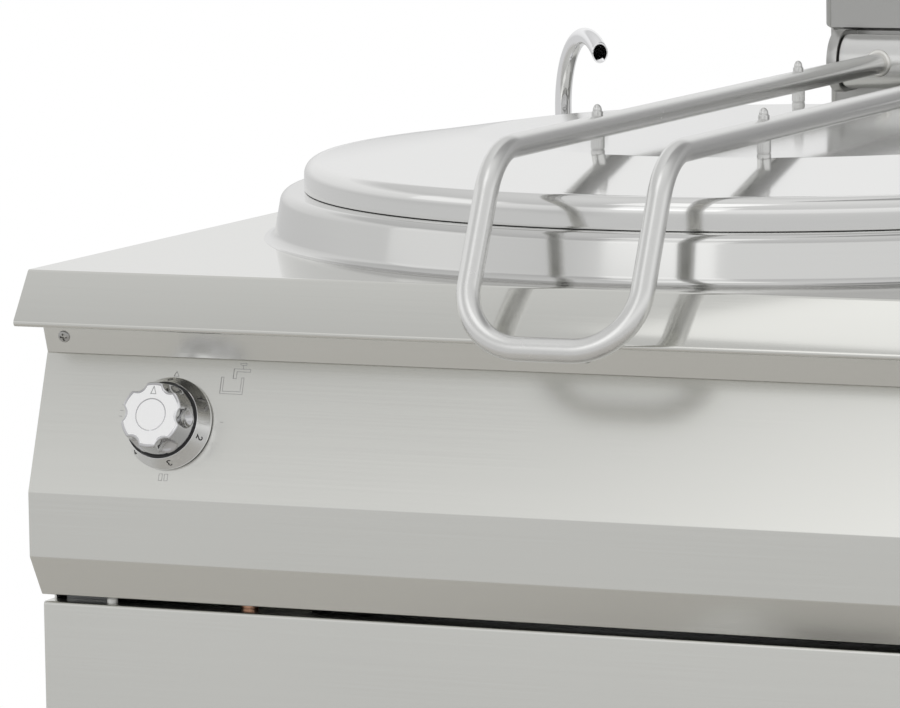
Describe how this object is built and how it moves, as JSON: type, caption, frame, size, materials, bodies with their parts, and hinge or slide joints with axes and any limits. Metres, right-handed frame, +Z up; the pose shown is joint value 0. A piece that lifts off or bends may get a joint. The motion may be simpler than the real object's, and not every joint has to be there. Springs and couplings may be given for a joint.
{
  "type": "boiling pan",
  "caption": "Floor-standing cooking kettle: round vessel in a steel cabinet, hinged lid with a bent tube handle, filling spout, numbered knobs and a front drain tap.",
  "frame": {"origin": "centre of the bounding box's base, on the floor under the cabinet", "axes": "+Z up, -Y the front with the controls and the drain tap, +X the right-hand side seen from the front"},
  "size_m": [0.8, 1.058, 1.0275],
  "materials": {
    "brushed_sheet": "long-grain brushed stainless sheet",
    "satin_turned": "fine circular satin on pressed stainless",
    "vessel_steel": "smooth satin stainless, washable",
    "satin_tube": "satin ground tube",
    "bright_chrome": "bright chrome plate",
    "plain_steel": "plain machined stainless",
    "zinc_steel": "dull zinc-coated sheet",
    "nylon_white": "white moulded nylon",
    "black_plastic": "fine textured black plastic",
    "cream_plastic": "cream moulded plastic",
    "brass_part": "machined brass",
    "copper_pipe": "drawn copper pipe, slightly dulled",
    "mineral_wool": "loose mineral fibre mat",
    "element_sheath": "heat-tinted dark sheath"
  },
  "bodies": {
    "cabinet": {"worktop": "brushed_sheet", "control_panel": "brushed_sheet", "recess_strip": "brushed_sheet", "front_panel": "brushed_sheet", "left_side_panel": "brushed_sheet", "right_side_panel": "brushed_sheet", "rear_cover": "brushed_sheet", "hinge_column": "brushed_sheet", "vessel_collar": "satin_turned", "inner_vessel": "vessel_steel", "drain_pipe": "vessel_steel", "pipe_clamp": "vessel_steel", "spout_ferrule": "bright_chrome", "drain_valve_body": "bright_chrome", "drain_outlet": "bright_chrome", "strip_screws": "plain_steel", "clamp_bolts": "plain_steel", "hinge_axle": "plain_steel", "torsion_springs": "plain_steel", "element_clamp": "plain_steel", "foot_stems": "plain_steel", "base_frame": "zinc_steel", "corner_posts": "zinc_steel", "vessel_casing": "zinc_steel", "electrics_plate": "zinc_steel", "panel_buffers": "nylon_white", "contactor": "black_plastic", "limit_thermostat": "black_plastic", "heat_regulator": "black_plastic", "cable_gland": "black_plastic", "terminal_block": "cream_plastic", "water_valve": "brass_part", "water_inlet": "brass_part", "spout_nut": "brass_part", "rear_lock_nuts": "brass_part", "spout_pipe": "copper_pipe", "supply_pipe": "copper_pipe", "insulation_blanket": "mineral_wool", "bottom_insulation": "mineral_wool", "heating_elements": "element_sheath"},
    "lid_group": {"lid": "satin_turned", "lid_studs": "plain_steel", "stud_spacers": "satin_tube", "domed_nuts": "bright_chrome", "lid_handle": "satin_tube", "hinge_barrel": "satin_tube", "barrel_bushes": "brass_part"},
    "fill_knob": {"fill_knob_skirt": "bright_chrome", "fill_knob_grip": "bright_chrome", "fill_spindle": "plain_steel"},
    "heat_knob": {"heat_knob_skirt": "bright_chrome", "heat_knob_grip": "bright_chrome", "heat_spindle": "plain_steel"},
    "spout": {"fill_spout": "bright_chrome"},
    "tap_lever": {"drain_ball": "bright_chrome", "valve_stem": "plain_steel", "valve_lever": "plain_steel", "lever_sleeve": "black_plastic", "lever_nut": "plain_steel"},
    "strainer": {"drain_strainer": "vessel_steel"}
  },
  "joints": [
    {"name": "lid_hinge", "type": "hinge", "parent": "cabinet", "child": "lid_group", "pos_m": [0, 0.385, 0.938], "axis": [-1, 0, 0], "range_deg": [0, 85]},
    {"name": "fill_knob_turn", "type": "hinge", "parent": "cabinet", "child": "fill_knob", "pos_m": [-0.296, -0.40078, 0.749], "axis": [0, -0.9413, 0.3376], "range_deg": [-216, 0]},
    {"name": "heat_knob_turn", "type": "hinge", "parent": "cabinet", "child": "heat_knob", "pos_m": [0.296, -0.40078, 0.749], "axis": [0, -0.9413, 0.3376], "range_deg": [-216, 0]},
    {"name": "spout_swivel", "type": "hinge", "parent": "cabinet", "child": "spout", "pos_m": [-0.316, 0.349, 0.85], "axis": [0, 0, 1], "range_deg": [-40, 60]},
    {"name": "drain_lever_turn", "type": "hinge", "parent": "cabinet", "child": "tap_lever", "pos_m": [0, -0.447, 0.35], "axis": [0, 0, 1], "range_deg": [-90, 0]},
    {"name": "strainer_lift", "type": "slide", "parent": "cabinet", "child": "strainer", "axis": [0, 0, 1], "range_m": [0, 0.3]}
  ]
}
